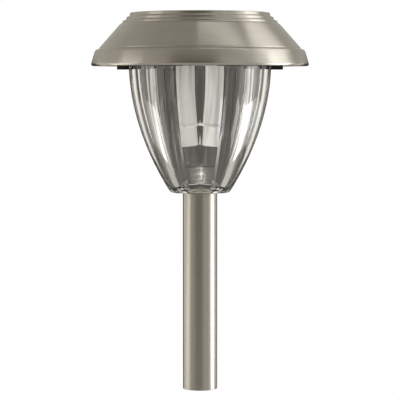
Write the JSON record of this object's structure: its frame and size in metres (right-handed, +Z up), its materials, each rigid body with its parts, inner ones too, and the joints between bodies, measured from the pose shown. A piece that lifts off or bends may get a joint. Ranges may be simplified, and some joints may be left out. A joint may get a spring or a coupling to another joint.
{
  "type": "solar garden light",
  "caption": "Pole light with a round brushed steel hat over a fluted clear lens, a hanging light guide, and a solar panel under the top window.",
  "frame": {"origin": "centre of the pole's lower end", "axes": "+Z up along the pole's axis, -Y towards the front, where the switch is; one valley of the lens faces -Y"},
  "size_m": [0.1398, 0.1398, 0.2429],
  "materials": {
    "brushed_stainless": "brushed stainless steel, satin",
    "black_abs": "moulded black ABS, fine satin",
    "clear_polystyrene": "clear moulded polystyrene, polished",
    "clear_polycarbonate": "clear polycarbonate, polished",
    "frosted_acrylic": "clear acrylic with a fine frost",
    "seal_rubber": "black silicone rubber, matt",
    "zinc_screw": "zinc plated steel",
    "panel_board": "dark laminate",
    "silicon_cell": "blue-black crystalline silicon under epoxy",
    "tinned_copper": "tinned copper",
    "green_board": "green solder mask on glass fibre board",
    "chip_epoxy": "black moulding compound",
    "led_epoxy": "clear epoxy lamp body",
    "reflector_white": "white reflective plastic",
    "nickel_plate": "bright nickel plate",
    "white_nylon": "white nylon",
    "cell_sleeve": "green shrink sleeve",
    "red_pvc": "red PVC insulation",
    "black_pvc": "black PVC insulation"
  },
  "bodies": {
    "pole": {"pole_tube": "brushed_stainless", "pole_ferrule": "black_abs", "pole_adapter": "clear_polystyrene"},
    "stake": {"ground_stake": "black_abs"},
    "lens": {"lens_bowl": "clear_polystyrene"},
    "seal": {"lens_seal": "seal_rubber"},
    "head": {"base_disc": "black_abs", "housing_screws": "zinc_screw", "board_screws": "zinc_screw", "housing_shell": "black_abs", "solar_panel": "panel_board", "solar_cells": "silicon_cell", "cell_ribbons": "tinned_copper", "panel_cover": "clear_polycarbonate", "panel_gasket": "seal_rubber", "hat_shade": "brushed_stainless", "circuit_board": "green_board", "driver_chip": "chip_epoxy", "inductor": "chip_epoxy", "led_lamp": "led_epoxy", "led_legs": "tinned_copper", "reflector_cup": "reflector_white", "guide_retainer": "black_abs", "light_guide": "frosted_acrylic", "switch_body": "nickel_plate", "battery_can": "nickel_plate", "battery_sleeve": "cell_sleeve", "contact_positive": "nickel_plate", "contact_negative": "nickel_plate", "contact_spring": "nickel_plate", "panel_lead_red": "red_pvc", "panel_lead_black": "black_pvc", "battery_lead_red": "red_pvc", "battery_lead_black": "black_pvc"},
    "switch": {"switch_slider": "white_nylon"},
    "door": {"battery_door": "black_abs"}
  },
  "joints": [
    {"name": "stake_slide", "type": "slide", "parent": "pole", "child": "stake", "axis": [0, 0, -1], "range_m": [0, 0.087]},
    {"name": "lens_lift", "type": "slide", "parent": "pole", "child": "lens", "axis": [0, 0, 1], "range_m": [0, 0.022]},
    {"name": "head_lift", "type": "slide", "parent": "lens", "child": "seal", "axis": [0, 0, 1], "range_m": [0, 0.045]},
    {"name": "head_twist", "type": "hinge", "parent": "seal", "child": "head", "pos_m": [0, 0, 0.2147], "axis": [0, 0, 1], "range_deg": [0, 25]},
    {"name": "switch_slide", "type": "slide", "parent": "head", "child": "switch", "axis": [1, 0, 0], "range_m": [0, 0.004]},
    {"name": "battery_door_hinge", "type": "hinge", "parent": "head", "child": "door", "pos_m": [0, 0.0152, 0.2165], "axis": [-1, 0, 0], "range_deg": [0, 85]}
  ]
}
